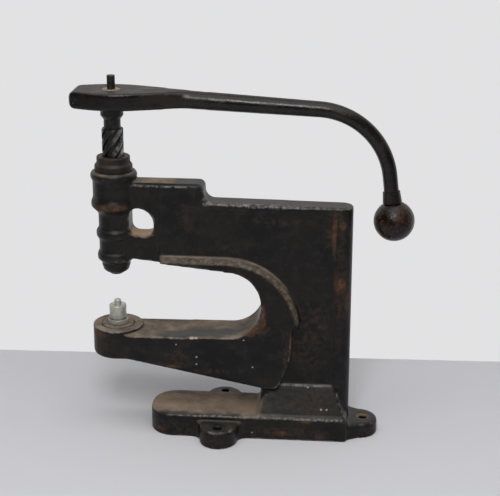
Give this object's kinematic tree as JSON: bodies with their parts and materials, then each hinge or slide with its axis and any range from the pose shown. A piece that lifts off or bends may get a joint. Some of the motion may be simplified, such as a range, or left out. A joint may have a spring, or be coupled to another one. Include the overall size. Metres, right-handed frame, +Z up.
{
  "type": "document riveting machine",
  "caption": "Hand screw press for riveting documents: deep C frame on a lugged base, swinging lever with ball knob, steep spindle, keyed ram and lower die.",
  "frame": {"origin": "on the underside of the base, midway between the holes of the two side lugs", "axes": "+X from the dies towards the column and the lever's rest position, +Z up, +Y to the rear side lug; the machine's middle plane is Y = 0"},
  "size_m": [0.3182, 0.106, 0.3492],
  "materials": {
    "enamel_iron": "worn black enamel on cast iron, with dust and rust",
    "bush_steel": "brown oxidised steel",
    "screw_steel": "greasy machined steel",
    "lever_steel": "dark brown forging, half gloss from handling",
    "knob_iron": "dark brown ball with reddish rust",
    "die_steel": "dulled bright steel",
    "dark_steel": "blackened steel"
  },
  "bodies": {
    "press": {"frame": "enamel_iron", "nut_bush": "bush_steel", "bush_lock_screw": "dark_steel", "guide_screw": "dark_steel", "anvil_seat": "dark_steel", "anvil": "die_steel", "anvil_set_screw": "dark_steel", "pilot_spring": "screw_steel", "pilot_plug": "dark_steel"},
    "ram_group": {"ram": "screw_steel", "ram_retaining_pins": "dark_steel", "thrust_button": "die_steel", "upper_die": "die_steel", "die_set_screw": "dark_steel"},
    "screw_group": {"spindle": "screw_steel", "lever": "lever_steel", "lever_key": "screw_steel", "top_stud": "dark_steel", "head_cross_pin": "dark_steel", "knob_collar": "lever_steel", "ball_knob": "knob_iron"},
    "pilot": {"pilot_pin": "die_steel"}
  },
  "joints": [
    {"name": "ram_slide", "type": "slide", "parent": "press", "child": "ram_group", "axis": [0, 0, -1], "range_m": [0, 0.027]},
    {"name": "lever_turn", "type": "hinge", "parent": "ram_group", "child": "screw_group", "pos_m": [-0.101, 0, 0.3], "axis": [0, 0, -1], "range_deg": [0, 135]},
    {"name": "pilot_slide", "type": "slide", "parent": "press", "child": "pilot", "axis": [0, 0, -1], "range_m": [0, 0.0035], "stiffness_N_per_m": 800, "springref_m": -0.003, "deforming": ["pilot_spring"]}
  ],
  "couplings": [
    {"joint": "ram_slide", "follows": "lever_turn", "m_per_rad": 0.011459}
  ]
}
